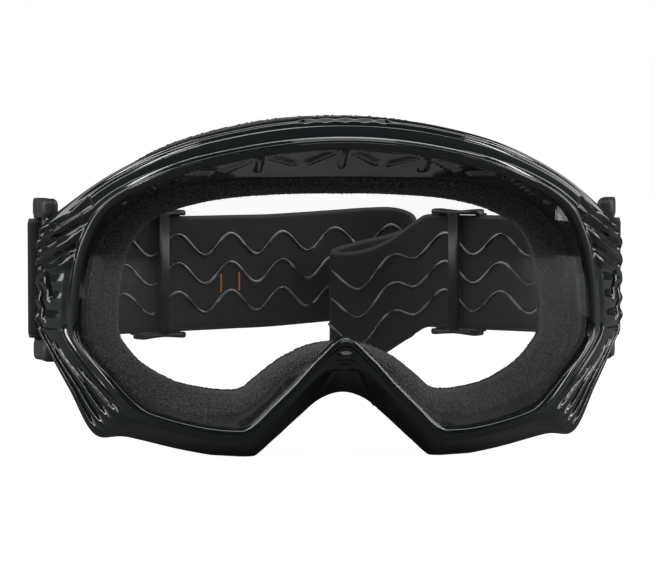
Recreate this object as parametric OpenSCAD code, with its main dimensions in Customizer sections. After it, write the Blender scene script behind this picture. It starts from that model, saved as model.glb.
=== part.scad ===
/* [Frame] */
// Width across the two side panels
frame_w = 185; // [165:1:222]
// Height from the feet to the brow
frame_h = 102.7; // [85:0.1:124]
// Thickness of the front plate, measured front to back
plate_t = 3.2; // [2.6:0.1:3.8]
// Thickness of the rear flange that carries the foam
flange_t = 2.4; // [1.5:0.1:3.5]

/* [Lens] */
// Radius that the lens is bent to at a frame width of 185; it grows with the frame
lens_r = 104; // [100:1:140]
// Thickness of the lens
lens_t = 1; // [0.8:0.1:1.5]
// Depth of the groove that holds the lens edge
groove_depth = 2.8; // [2:0.1:3.2]
// Gap between the lens and each wall of its groove
lens_gap = 0.15; // [0.1:0.05:0.3]
// Thickness of the lip in front of the lens
lip_t = 1.4; // [1:0.1:2]

/* [Face foam] */
// Thickness of the foam ring
foam_t = 12; // [8:0.5:16]
// Thickness of the fleece on the foam
fleece_t = 2.5; // [1.5:0.1:3.5]

/* [Outriggers] */
// Radius of each hinge pin
pin_r = 1.25; // [1:0.05:1.6]
// Running clearance of an outrigger on its pin
pin_gap = 0.05; // [0.03:0.01:0.08]
// Radius of each strap bar
bar_r = 1.6; // [1.2:0.1:2]
// Distance from the hinge pin to the strap bar
outrigger_l = 14.6; // [13:0.1:18]
// Height of each ear of an outrigger
ear_h = 6.2; // [4:0.1:9]

/* [Strap] */
// Width of the elastic webbing
strap_w = 38; // [30:1:46]
// Thickness of the webbing
strap_t = 1.7; // [1.2:0.1:2.2]
// Height of the raised silicone lines
bead_h = 0.5; // [0.3:0.05:0.55]
// Width of the raised silicone lines
bead_w = 1; // [0.6:0.1:1.6]
// Length of one silicone wave
wave_l = 21.5; // [16:0.5:28]
// Height of one silicone wave from crest to trough
wave_h = 7; // [4:0.5:8]

/* [Sliders] */
// Length of a slider along the webbing
slider_l = 19; // [15:0.5:21]
// Width of each bar of a slider
slider_bar_w = 3.8; // [2:0.1:4.5]
// Thickness of each bar of a slider
slider_bar_t = 1.9; // [1.4:0.1:2.6]
// Gap between the webbing and the bars
slider_gap = 0.65; // [0.6:0.05:1]
// Height of the end caps of a slider
slider_cap_h = 2.2; // [1.6:0.1:6]

/* [Hidden] */

// Distances called depth are measured back from the front of the lens.
// The outline is drawn for a frame 185 wide and 102.7 high and scaled to the set size.
sx = frame_w / 185;
bend_r = lens_r * sx;
sz = frame_h / 102.7;
foot_z = 0.6;
rim_r = 119;
rim_depth = 11;
rim_t = 2.2;
lens_edge_gap = 0.4;

// Half of the outline from the brow to the nose. Each row holds the aperture edge x, z,
// the outer rim x, z, the flange's inner edge x, z, its depth, how far the flange's outer
// edge stays inside the rim, and the foam opening x, z.
rows = [
    [ 0.0, 92.9,  0.0, 102.7,  0.0, 84.1, 27.0,  1.0,  0.0, 79.5],
    [18.0, 91.7, 20.0, 101.5, 16.0, 83.9, 28.5,  1.0, 15.0, 79.3],
    [37.0, 88.4, 40.6,  97.4, 34.0, 83.0, 31.0,  1.2, 31.0, 78.2],
    [51.0, 84.4, 55.3,  92.3, 47.0, 81.0, 36.0,  1.5, 43.0, 76.1],
    [64.0, 78.7, 69.9,  84.8, 60.0, 76.5, 43.0,  3.0, 52.6, 72.8],
    [71.0, 73.2, 82.2,  76.1, 68.0, 70.8, 47.0,  7.0, 58.6, 69.2],
    [75.0, 66.0, 91.1,  68.2, 72.5, 64.7, 49.0, 10.0, 62.6, 63.9],
    [77.1, 60.0, 92.4,  59.7, 74.5, 58.0, 50.0, 10.5, 65.0, 57.8],
    [79.2, 48.7, 92.5,  47.7, 75.3, 48.0, 50.0, 10.5, 67.0, 46.8],
    [79.6, 37.7, 92.4,  37.8, 75.0, 36.6, 50.0, 10.5, 67.0, 35.3],
    [77.0, 32.0, 88.5,  29.5, 73.5, 29.0, 50.0,  9.0, 64.5, 30.3],
    [70.0, 24.7, 82.2,  18.4, 67.5, 21.4, 49.0,  7.0, 60.0, 25.3],
    [61.5, 16.4, 74.6,   5.3, 60.0, 15.8, 46.0,  5.0, 53.5, 21.3],
    [54.0, 13.2, 64.5,   5.0, 53.0, 13.4, 41.5,  4.0, 47.9, 19.2],
    [42.0, 10.6, 48.0,   1.9, 42.0, 11.2, 33.0,  2.5, 39.0, 18.0],
    [33.5,  9.9, 34.2,   0.0, 34.7, 11.8, 28.0,  2.0, 34.2, 18.0],
    [28.5, 10.8, 27.5,   0.0, 29.0, 13.5, 23.5,  2.0, 29.3, 19.0],
    [21.5, 17.5, 20.5,   5.8, 23.0, 18.4, 19.5,  1.5, 23.5, 24.0],
    [15.0, 24.0, 13.2,  12.6, 16.0, 25.3, 17.0,  1.0, 16.9, 29.0],
    [ 8.0, 31.6,  6.8,  18.0,  8.8, 29.0, 16.0,  0.8,  9.0, 32.7],
    [ 0.0, 37.8,  0.0,  20.1,  0.0, 30.3, 15.5,  0.8,  0.0, 34.0]];
row_mirror = [-1, 1, -1, 1, -1, 1, 1, 1, -1, 1];
row_scale = [sx, sz, sx, sz, sx, sz, 1, 1, sx, sz];
row_steps = 3;

function each_product(a, b) = [for (i = [0 : len(a) - 1]) a[i] * b[i]];
function spline(a, b, c, d, t) =
    0.5 * (2 * b + (c - a) * t + (2 * a - 5 * b + 4 * c - d) * t * t
        + (3 * b - a - 3 * c + d) * t * t * t);
last_row = len(rows) - 1;
function row(i) = i < 0 ? each_product(rows[-i], row_mirror)
    : i > last_row ? each_product(rows[2 * last_row - i], row_mirror) : rows[i];
function station(i, t) = each_product(spline(row(i - 1), row(i), row(i + 1), row(i + 2), t), row_scale);
half_stations = [for (i = [0 : last_row - 1]) for (k = [0 : row_steps - 1]) station(i, k / row_steps),
    each_product(rows[last_row], row_scale)];
half_count = len(half_stations);
stations = concat(half_stations,
    [for (i = [half_count - 2 : -1 : 1]) each_product(half_stations[i], row_mirror)]);

function sag(x, r) = r - sqrt(r * r - x * x);
function along(p, e, d) = p + e * d;
function mix(a, b, t) = a + (b - a) * t;
function at(p, depth) = [p[0], depth - mid_depth, max(p[1], foot_z) - foot_z];

function aperture(r) = [r[0], r[1]];
function rim(r) = [r[2], r[3]];
function flange(r) = [r[4], r[5]];
function opening(r) = [r[8], r[9]];
function outward(r) = (rim(r) - flange(r)) / norm(rim(r) - flange(r));
function rim_back(r) = rim_depth + sag(r[2] / sx, rim_r);
function flange_edge(r) = along(rim(r), outward(r), -r[7]);
// Depth of a surface bent round the lens's axis, so far in front of the lens or, below 0, behind it.
function bent(p, out) = bend_r - sqrt((bend_r + out) * (bend_r + out) - p[0] * p[0]);
function groove_front(p) = bent(p, lens_gap);
function groove_back(p) = bent(p, -lens_t - lens_gap);

crest_out = 2.2;
crest_h = 0.8;
wall_out = groove_depth + 1.6;
function crest(r) = along(aperture(r), outward(r), crest_out);
function crest_depth(r) = groove_front(crest(r)) - lip_t - crest_h;
function plate(r, t, lift) = at(mix(crest(r), rim(r), t), mix(crest_depth(r), rim_back(r), t) + lift);
function groove_floor(r) = along(aperture(r), outward(r), groove_depth);
function wall_start(r) = along(aperture(r), outward(r), wall_out);
function wall_start_depth(r) = groove_back(wall_start(r)) + 1.8;
function wall_end(r) = along(flange(r), outward(r), flange_t);

function frame_ring(r) = [
    at(aperture(r), groove_front(aperture(r))),
    at(aperture(r), groove_front(aperture(r)) - lip_t),
    at(crest(r), crest_depth(r)),
    plate(r, 0.45, -1.2),
    plate(r, 0.82, -1),
    at(rim(r), rim_back(r)),
    at(along(rim(r), outward(r), -0.5), rim_back(r) + rim_t),
    plate(r, 0.45, plate_t),
    at(wall_start(r), wall_start_depth(r)),
    at(wall_end(r), r[6]),
    at(flange_edge(r), r[6]),
    at(flange_edge(r), r[6] + flange_t),
    at(flange(r), r[6] + flange_t),
    at(flange(r), r[6]),
    at(aperture(r), groove_back(aperture(r)) + 1.6),
    at(aperture(r), groove_back(aperture(r))),
    at(groove_floor(r), groove_back(groove_floor(r))),
    at(groove_floor(r), groove_front(groove_floor(r)))];

// Skins a list of rings. A looped skin closes on its first ring, an open one gets end faces.
// Two skins that touch meet exactly where one of them has its quads split the other way.
module skin(rings, looped, other_way = false) {
    m = len(rings[0]);
    n = len(rings);
    side = [for (i = [0 : n - (looped ? 1 : 2)]) for (k = [0 : m - 1])
        [i * m + k, i * m + (k + 1) % m, ((i + 1) % n) * m + (k + 1) % m, ((i + 1) % n) * m + k]];
    tris = [for (q = side) each other_way ? [[q[0], q[1], q[3]], [q[1], q[2], q[3]]]
        : [[q[0], q[1], q[2]], [q[0], q[2], q[3]]]];
    ends = looped ? [] : [[for (k = [m - 1 : -1 : 0]) k], [for (k = [0 : m - 1]) (n - 1) * m + k]];
    polyhedron(points = [for (ring = rings) each ring], faces = concat(tris, ends), convexity = 10);
}

module frame() {
    color([0.03, 0.04, 0.04]) skin([for (r = stations) frame_ring(r)], true);
}

module lens() {
    outline = [for (r = stations) along(aperture(r), outward(r), groove_depth - lens_edge_gap)];
    color([0.85, 0.9, 0.9, 0.35])
        intersection() {
            translate([0, bend_r - mid_depth, -foot_z])
                difference() {
                    cylinder(r = bend_r, h = 2 * frame_h, $fn = 96);
                    translate([0, 0, -1]) cylinder(r = bend_r - lens_t, h = 2 * frame_h + 2, $fn = 96);
                }
            translate([0, bend_r - mid_depth - bend_r / 4, -foot_z]) rotate([90, 0, 0])
                linear_extrude(height = bend_r) polygon(outline);
        }
}

foam_out = 0.8;
function foam_edge(r) = along(flange_edge(r), outward(r), foam_out);
function foam_front(r) = r[6] + flange_t;

module face_foam() {
    color([0.2, 0.2, 0.19])
        skin([for (r = stations) [
            at(opening(r), foam_front(r) + 2.5),
            at(mix(opening(r), flange(r), 0.5), foam_front(r)),
            at(flange(r), foam_front(r)),
            at(flange_edge(r), foam_front(r)),
            at(foam_edge(r), foam_front(r)),
            at(foam_edge(r), foam_front(r) + foam_t),
            at(opening(r), foam_front(r) + foam_t)]], true, true);
}

module face_fleece() {
    color([0.08, 0.08, 0.08])
        skin([for (r = stations) [
            at(opening(r), foam_front(r) + foam_t),
            at(foam_edge(r), foam_front(r) + foam_t),
            at(foam_edge(r), foam_front(r) + foam_t + fleece_t),
            at(opening(r), foam_front(r) + foam_t + fleece_t)]], true);
}

vent_rows = 3;
vent_w = 7;
vent_gap = 0.5;
function vent_ring(r) =
    let (t = (r[6] - vent_w - wall_start_depth(r)) / (r[6] - wall_start_depth(r)))
    [at(along(wall_end(r), outward(r), vent_gap), r[6] - vent_gap),
     at(along(flange_edge(r), outward(r), -vent_gap), r[6] - vent_gap),
     at(along(flange_edge(r), outward(r), -vent_gap), r[6] - vent_w),
     at(along(mix(wall_start(r), wall_end(r), t), outward(r), vent_gap), r[6] - vent_w)];

module top_vent_foam() {
    count = vent_rows * row_steps;
    run = concat([for (i = [count : -1 : 1]) each_product(half_stations[i], row_mirror)],
        [for (i = [0 : count]) half_stations[i]]);
    color([0.15, 0.15, 0.15]) skin([for (r = run) vent_ring(r)], false);
}

// Side fittings. A side is -1 on the wearer's right, at low x, and 1 at high x.
strap_z = 51.5 * sz - foot_z;
hinge_x = frame_w / 2 - 4.2;
hinge_depth = 62;
knuckle_r = 2.6;
ear_end_r = bar_r + 0.4;
bar_out = 15;
bar_x = hinge_x + outrigger_l * sin(bar_out);
bar_depth = hinge_depth + outrigger_l * cos(bar_out);
window_h = strap_w + 1;
outrigger_h = window_h + 2 * ear_h;
ear_gap = 0.3;

module on_side(side) {
    if (side < 0) mirror([1, 0, 0]) children();
    else children();
}

module strap_mount(side) {
    mount_h = 28 * sz;
    block = [[hinge_x - 4.7, 50.6], [hinge_x - 1.9, 50.6], [hinge_x + 0.9, 55.4], [hinge_x + 1.7, hinge_depth],
        [hinge_x - 2.5, hinge_depth]];
    color([0.12, 0.13, 0.13]) on_side(side)
        difference() {
            translate([0, -mid_depth, strap_z])
                union() {
                    translate([0, 0, -mount_h / 2]) linear_extrude(height = mount_h) polygon(block);
                    translate([hinge_x, hinge_depth, -window_h / 2 + ear_gap])
                        cylinder(r = knuckle_r, h = window_h - 2 * ear_gap, $fn = 48);
                }
            translate([hinge_x, hinge_depth - mid_depth, strap_z - window_h])
                cylinder(r = pin_r + 0.02, h = 2 * window_h, $fn = 32);
        }
}

module hinge_pin(side) {
    color([0.6, 0.6, 0.62]) on_side(side)
        translate([hinge_x, hinge_depth - mid_depth, strap_z - outrigger_h / 2 + 0.5])
            cylinder(r = pin_r, h = outrigger_h - 1, $fn = 32);
}

module ear() {
    linear_extrude(height = ear_h) hull() {
        translate([hinge_x, hinge_depth]) circle(r = knuckle_r, $fn = 32);
        translate([bar_x, bar_depth]) circle(r = ear_end_r, $fn = 32);
    }
}

module outrigger(side) {
    color([0.13, 0.14, 0.14]) on_side(side)
        difference() {
            translate([0, -mid_depth, strap_z])
                union() {
                    translate([0, 0, window_h / 2]) ear();
                    translate([0, 0, -outrigger_h / 2]) ear();
                    translate([bar_x, bar_depth, -outrigger_h / 2 + 1])
                        cylinder(r = bar_r, h = outrigger_h - 2, $fn = 32);
                }
            translate([hinge_x, hinge_depth - mid_depth, strap_z - outrigger_h])
                cylinder(r = pin_r + pin_gap, h = 2 * outrigger_h, $fn = 32);
        }
}

// The webbing leaves each strap bar as two straight layers and runs back through its slider.
// run_angle is how far each run turns back from the x axis, run_l how far it stays straight,
// slider_at how far from the bar the slider's middle lies. Low x first, then high x.
run_angle = [33.3, 38.3];
run_l = [66, 68];
slider_at = [44.7, 56];
loop_l = 12;
bar_gap = 0.3;
layer_out = bar_r + bar_gap + strap_t / 2;
piece_gap = 0.1;

// Draws in a frame where x runs from the strap bar towards the back, y points away from the head.
module on_run(side) {
    i = side < 0 ? 0 : 1;
    on_side(side) translate([bar_x, bar_depth - mid_depth, strap_z])
        rotate([0, 0, 180 - run_angle[i]]) mirror([0, 1, 0]) children();
}

module web(points) {
    translate([0, 0, -strap_w / 2]) linear_extrude(height = strap_w) polygon(points);
}

module strap_loop(side) {
    color([0.06, 0.06, 0.07]) on_run(side) translate([0, 0, -strap_w / 2]) linear_extrude(height = strap_w)
        union() {
            difference() {
                circle(r = layer_out + strap_t / 2, $fn = 48);
                circle(r = layer_out - strap_t / 2, $fn = 48);
                translate([0, -layer_out * 2]) square([layer_out * 2, layer_out * 4]);
            }
            for (y = [-layer_out, layer_out])
                translate([0, y - strap_t / 2]) square([loop_l - piece_gap, strap_t]);
        }
}

slider_end_gap = 0.2;
rail_out = -layer_out + strap_t / 2 + slider_gap;
tail_out = rail_out + slider_bar_t + piece_gap + strap_t / 2;

module strap_tail(side) {
    i = side < 0 ? 0 : 1;
    start = slider_at[i] - slider_l / 2;
    half = strap_t / 2;
    color([0.06, 0.06, 0.07]) on_run(side)
        web([[loop_l, layer_out - half], [start - 4, tail_out - half], [start + slider_bar_w + 1, tail_out - half],
            [start + slider_bar_w + 1, tail_out + half], [start - 4, tail_out + half], [loop_l, layer_out + half]]);
}

module slider(side) {
    i = side < 0 ? 0 : 1;
    start = slider_at[i] - slider_l / 2;
    front = -layer_out - strap_t / 2 - slider_gap - slider_bar_t;
    half_h = strap_w / 2 + slider_end_gap;
    depth = rail_out + slider_bar_t - front;
    color([0.05, 0.05, 0.05]) on_run(side) union() {
        for (z = [-half_h - slider_cap_h, half_h])
            translate([start, front, z]) cube([slider_l, depth, slider_cap_h]);
        for (x = [start, start + slider_l - slider_bar_w])
            translate([x, rail_out, -half_h - 0.5]) cube([slider_bar_w, slider_bar_t, 2 * half_h + 1]);
        translate([start + (slider_l - slider_bar_w) / 2, front, -half_h - 0.5])
            cube([slider_bar_w, slider_bar_t, 2 * half_h + 1]);
    }
}

seam_h = 0.3;
module tail_seam(side) {
    i = side < 0 ? 0 : 1;
    start = slider_at[i] - slider_l / 2;
    color([0.1, 0.1, 0.1]) on_run(side)
        for (x = [start - 3.4, start - 1.4])
            translate([x, tail_out + strap_t / 2, -strap_w / 2 + 2]) cube([0.7, seam_h, strap_w - 4]);
}

// The free middle of the webbing, as x, depth and height of its centre above strap_z.
// It passes to the high-x side, folds back, folds forward again lower down and runs to its slider.
middle = [[-28, 115.3, 0], [-17, 122.6, 0], [-6, 129.7, 0.4], [6, 136.2, 1], [18, 140.3, 1.7],
    [27.5, 141.15, 1.8], [33.3, 139.4, 0.2], [35, 135.8, -2.4], [32.6, 132.4, -4.8], [26, 130.7, -7],
    [16, 129.9, -9.2], [8.6, 128.3, -11.2], [5.6, 125, -12.4], [8.8, 121.9, -12.8], [16, 121.4, -12],
    [23, 122, -9.4], [29, 121.2, -5.6], [33.4, 118.8, -2.2]];
function run_point(side, s, out) =
    let (i = side < 0 ? 0 : 1, a = run_angle[i])
    [side * (bar_x - s * cos(a) + out * sin(a)), bar_depth + s * sin(a) + out * cos(a), 0];
run_marks = [0, 0.3, 0.62, 0.88, 1];
route = concat(
    [for (t = run_marks) run_point(-1, mix(loop_l, run_l[0], t), -layer_out)],
    [for (p = middle) [p[0] * sx, p[1], p[2]]],
    [for (k = [len(run_marks) - 1 : -1 : 0]) run_point(1, mix(loop_l, run_l[1], run_marks[k]), -layer_out)]);
route_end = len(route) - 1;
function route_knot(i) = i < 0 ? 2 * route[0] - route[1]
    : i > route_end ? 2 * route[route_end] - route[route_end - 1] : route[i];
web_steps = 6;
path = [for (i = [0 : route_end - 1]) for (k = [0 : web_steps - 1])
    spline(route_knot(i - 1), route_knot(i), route_knot(i + 1), route_knot(i + 2), k / web_steps),
    route[route_end]];
path_end = len(path) - 1;
// Half of the whole depth, from the lip at the nose to the back of the webbing.
mid_depth = (max([for (p = path) p[1]]) + strap_t / 2 - lens_gap - lip_t - crest_h) / 2;
function plan(p) = [p[0], p[1]];
function direction(i) =
    let (v = plan(path[min(i + 1, path_end)]) - plan(path[max(i - 1, 0)])) v / norm(v);
// Points away from the head on the outside of the webbing.
function side_way(i) = [-direction(i)[1], direction(i)[0]];
function web_at(i, out, up) = at_path(plan(path[i]) + side_way(i) * out, path[i][2] + up);
function at_path(p, up) = [p[0], p[1] - mid_depth, strap_z + up];
function path_l(i) = i <= 0 ? 0 : path_l(i - 1) + norm(plan(path[i]) - plan(path[i - 1]));
lengths = [for (i = [0 : path_end]) path_l(i)];

module strap_main() {
    half = strap_t / 2;
    low = -strap_w / 2;
    color([0.06, 0.06, 0.07])
        skin([for (i = [0 : path_end])
            [web_at(i, half, low), web_at(i, half, -low), web_at(i, -half, -low), web_at(i, -half, low)]], false);
}

wave_rows = [-strap_w / 4, 0, strap_w / 4];
bead_lift = 0.01;
wave_start = 12.6;
function wave_up(i) = wave_h / 2 * sin(360 * (lengths[i] - wave_start) / wave_l);

module silicone_waves() {
    inner = -strap_t / 2 - bead_lift;
    color([0.1, 0.1, 0.1])
        for (z = wave_rows)
            skin([for (i = [0 : path_end])
                [web_at(i, inner, z + wave_up(i) - bead_w / 2), web_at(i, inner, z + wave_up(i) + bead_w / 2),
                 web_at(i, inner - bead_h, z + wave_up(i) + bead_w / 4),
                 web_at(i, inner - bead_h, z + wave_up(i) - bead_w / 4)]], false);
}

tack_h = 6;
tack_w = 0.8;
tack_t = 0.3;
// Each tack's distance along the webbing and the height of its centre, between two waves.
tacks = [[56.8, -3.6], [64.4, -3.2]];
function web_on(l, out, up) =
    let (i = max([for (k = [0 : path_end - 1]) if (lengths[k] <= l) k]),
        t = (l - lengths[i]) / (lengths[i + 1] - lengths[i]))
    mix(web_at(i, out, up), web_at(i + 1, out, up), t);

module bar_tacks() {
    out = -strap_t / 2 - bead_lift;
    color([0.85, 0.4, 0.1])
        for (tack = tacks) {
            start = web_on(tack[0] - tack_w / 2, out, 0);
            run = web_on(tack[0] + tack_w / 2, out, 0) - start;
            translate([start[0], start[1], strap_z + tack[1] - tack_h / 2])
                rotate([0, 0, atan2(run[1], run[0])]) translate([0, -tack_t, 0]) cube([tack_w, tack_t, tack_h]);
        }
}

frame();
lens();
face_foam();
face_fleece();
top_vent_foam();
strap_mount(-1);  // strap_mount_left
strap_mount(1);  // strap_mount_right
hinge_pin(-1);  // hinge_pin_left
hinge_pin(1);  // hinge_pin_right
outrigger(-1);  // outrigger_left
outrigger(1);  // outrigger_right
strap_main();
strap_loop(-1);  // strap_loop_left
strap_loop(1);  // strap_loop_right
strap_tail(-1);  // strap_tail_left
strap_tail(1);  // strap_tail_right
slider(-1);  // slider_left
slider(1);  // slider_right
tail_seam(-1);  // tail_seam_left
tail_seam(1);  // tail_seam_right
silicone_waves();
bar_tacks();
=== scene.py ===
import bmesh
import bpy
import math
import numpy as np
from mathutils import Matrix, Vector


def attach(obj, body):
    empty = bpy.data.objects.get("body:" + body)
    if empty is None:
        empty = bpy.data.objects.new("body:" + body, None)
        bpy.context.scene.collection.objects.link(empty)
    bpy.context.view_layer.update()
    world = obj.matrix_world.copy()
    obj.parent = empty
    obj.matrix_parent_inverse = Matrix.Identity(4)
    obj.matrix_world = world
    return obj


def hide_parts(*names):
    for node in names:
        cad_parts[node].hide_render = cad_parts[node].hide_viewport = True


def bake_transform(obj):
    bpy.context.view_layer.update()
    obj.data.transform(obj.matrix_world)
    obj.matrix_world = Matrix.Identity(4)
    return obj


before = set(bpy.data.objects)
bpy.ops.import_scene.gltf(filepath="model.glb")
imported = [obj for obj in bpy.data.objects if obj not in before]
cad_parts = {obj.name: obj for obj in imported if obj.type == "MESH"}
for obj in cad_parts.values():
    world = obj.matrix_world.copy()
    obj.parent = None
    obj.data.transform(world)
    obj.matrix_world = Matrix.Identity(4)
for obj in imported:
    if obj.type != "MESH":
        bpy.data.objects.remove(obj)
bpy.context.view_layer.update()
MM = 0.001


# ---------------------------------------------------------------- camera and studio
# A long lens a little to one side and a little above, a pale floor that runs back for
# metres, narrow lamps that draw lines along gloss edges, and wide soft ones for the cloth.
VIEW_DISTANCE = 0.921
VIEW_AZIMUTH = math.radians(-4.29)
VIEW_ELEVATION = math.radians(3.11)
AIM = Vector((-0.00239, -0.02885, 0.04767))

away = Vector((math.sin(VIEW_AZIMUTH) * math.cos(VIEW_ELEVATION),
               -math.cos(VIEW_AZIMUTH) * math.cos(VIEW_ELEVATION), math.sin(VIEW_ELEVATION)))
camera = bpy.data.objects.new("camera", bpy.data.cameras.new("camera"))
bpy.context.scene.collection.objects.link(camera)
camera.data.lens = 163.42
camera.data.sensor_width = 36
camera.location = AIM + away * VIEW_DISTANCE
camera.rotation_mode = "QUATERNION"
camera.rotation_quaternion = (-away).to_track_quat("-Z", "Y")
camera.data.clip_start, camera.data.clip_end = 0.05, 60
bpy.context.scene.camera = camera
bpy.context.scene.view_settings.view_transform = "Standard"


class Wire:
    """A value inside a material: an expression on wires adds the maths nodes that work it out."""

    def __init__(self, tree, socket):
        self.tree, self.socket = tree, socket

    def _maths(self, operation, first, second):
        step = self.tree.nodes.new("ShaderNodeMath")
        step.operation = operation
        for place, value in ((0, first), (1, second)):
            if isinstance(value, Wire):
                self.tree.links.new(value.socket, step.inputs[place])
            else:
                step.inputs[place].default_value = value
        return Wire(self.tree, step.outputs[0])

    def __add__(self, other):
        return self._maths("ADD", self, other)

    def __sub__(self, other):
        return self._maths("SUBTRACT", self, other)

    def __rsub__(self, other):
        return self._maths("SUBTRACT", other, self)

    def __mul__(self, other):
        return self._maths("MULTIPLY", self, other)

    def over(self, other):
        return self._maths("GREATER_THAN", self, other)

    __radd__ = __add__
    __rmul__ = __mul__


class Finish:
    """A surface finish: its fixed numbers go straight on the shader, and its patterns are wired in."""

    def __init__(self, name, **fixed):
        self.material = bpy.data.materials.new(name)
        self.material.use_nodes = True
        self.tree = self.material.node_tree
        self.shader = self.tree.nodes["Principled BSDF"]
        for socket, value in fixed.items():
            place = self.shader.inputs[socket.replace("_", " ")]
            place.default_value = (*value, 1) if isinstance(value, tuple) else value

    def node(self, kind, settings=None, inputs=None, out=0):
        made = self.tree.nodes.new("ShaderNode" + kind)
        for key, value in (settings or {}).items():
            if key == "stops":
                for stop, (spot, shade) in zip(made.color_ramp.elements, value):
                    stop.position, stop.color = spot, (shade, shade, shade, 1)
            else:
                setattr(made, key, value)
        for key, value in (inputs or {}).items():
            if isinstance(value, Wire):
                self.tree.links.new(value.socket, made.inputs[key])
            else:
                made.inputs[key].default_value = value
        return Wire(self.tree, made.outputs[out])

    def wire(self, socket, value):
        self.tree.links.new(value.socket, self.shader.inputs[socket])

    def place(self, out="Object"):
        return self.node("TexCoord", out=out)

    def noise(self, scale, detail=2.0):
        return self.node("TexNoise", inputs={"Vector": self.place(), "Scale": scale, "Detail": detail})

    def shades(self, mask, low, high):
        return self.node("Mix", {"data_type": "RGBA"}, {0: mask, 6: (*low, 1), 7: (*high, 1)}, out=2)

    def bump(self, height, depth, strength):
        bumped = self.node("Bump", inputs={"Height": height, "Distance": depth, "Strength": strength})
        self.wire("Normal", bumped)


def shown(name, bm, finish):
    """Turns a bmesh into a piece of that name and gives it its finish."""
    mesh = bpy.data.meshes.new(name)
    bm.to_mesh(mesh)
    bm.free()
    piece = bpy.data.objects.new(name, mesh)
    bpy.context.scene.collection.objects.link(piece)
    mesh.materials.append(finish.material)
    mesh.shade_smooth()
    return piece


FLOOR_SIZE = 12.0
paper = Finish("studio_paper", Base_Color=(0.22, 0.22, 0.22), Roughness=0.9, Emission_Strength=1.0)
seen = paper.node("LightPath")
paper.wire("Emission Color", paper.shades(seen, (0.0, 0.0, 0.0), (0.98, 0.98, 0.98)))
bm = bmesh.new()
bmesh.ops.create_grid(bm, x_segments=2, y_segments=2, size=FLOOR_SIZE / 2)
floor = shown("floor", bm, paper)
floor.location.z = -0.0002

world = bpy.data.worlds.new("studio")
bpy.context.scene.world = world
world.use_nodes = True
sky = world.node_tree
seen = sky.nodes.new("ShaderNodeLightPath")
backdrop = sky.nodes["Background"]
backdrop.inputs["Color"].default_value = (1, 1, 1, 1)
backdrop.inputs["Strength"].default_value = 1.0
room = sky.nodes.new("ShaderNodeBackground")
room.inputs["Color"].default_value = (0.9, 0.95, 1.0, 1)
room.inputs["Strength"].default_value = 0.07
either = sky.nodes.new("ShaderNodeMixShader")
sky.links.new(seen.outputs["Is Camera Ray"], either.inputs[0])
sky.links.new(room.outputs[0], either.inputs[1])
sky.links.new(backdrop.outputs[0], either.inputs[2])
sky.links.new(either.outputs[0], sky.nodes["World Output"].inputs["Surface"])


def lamp(name, place, aim, width, height, power):
    light = bpy.data.lights.new(name, "AREA")
    light.shape, light.size, light.size_y, light.energy = "RECTANGLE", width, height, power
    holder = bpy.data.objects.new(name, light)
    bpy.context.scene.collection.objects.link(holder)
    holder.location = place
    holder.rotation_mode = "QUATERNION"
    holder.rotation_quaternion = (Vector(aim) - Vector(place)).to_track_quat("-Z", "Y")


MIDDLE = (0, 0, 0.05)
lamp("overhead_strip", (0, -0.62, 1.15), MIDDLE, 3.4, 0.08, 6)
lamp("left_strip", (-1.15, -0.35, 0.6), MIDDLE, 0.06, 1.1, 3.2)
lamp("right_strip", (1.2, -0.3, 0.6), MIDDLE, 0.06, 1.1, 3.2)
lamp("left_panel", (-1.3, 0.25, 0.5), MIDDLE, 0.7, 1.0, 6)
lamp("right_panel", (1.3, 0.25, 0.5), MIDDLE, 0.7, 1.0, 6)
lamp("front_fill", (0.2, -1.6, 1.5), MIDDLE, 1.5, 1.5, 9)


# ---------------------------------------------------------------- frame
# One gloss black moulding of flexible plastic: a front plate with a lens groove, a tubular
# wall behind it and a flange for the foam. Ridges run along the brow and chevrons and long
# flutes are cut in the side panels.
DEPTH_ORIGIN = -69.846
FOOT = 0.6
LENS_R, LENS_T, LENS_GAP, LIP_T, GROOVE = 104.0, 1.0, 0.15, 1.4, 2.8
CREST_OUT, CREST_H = 2.2, 0.8
FLANGE_T, PLATE_T = 2.4, 3.2
RIM_R, RIM_DEPTH, RIM_T = 119.0, 11.0, 2.2
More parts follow.
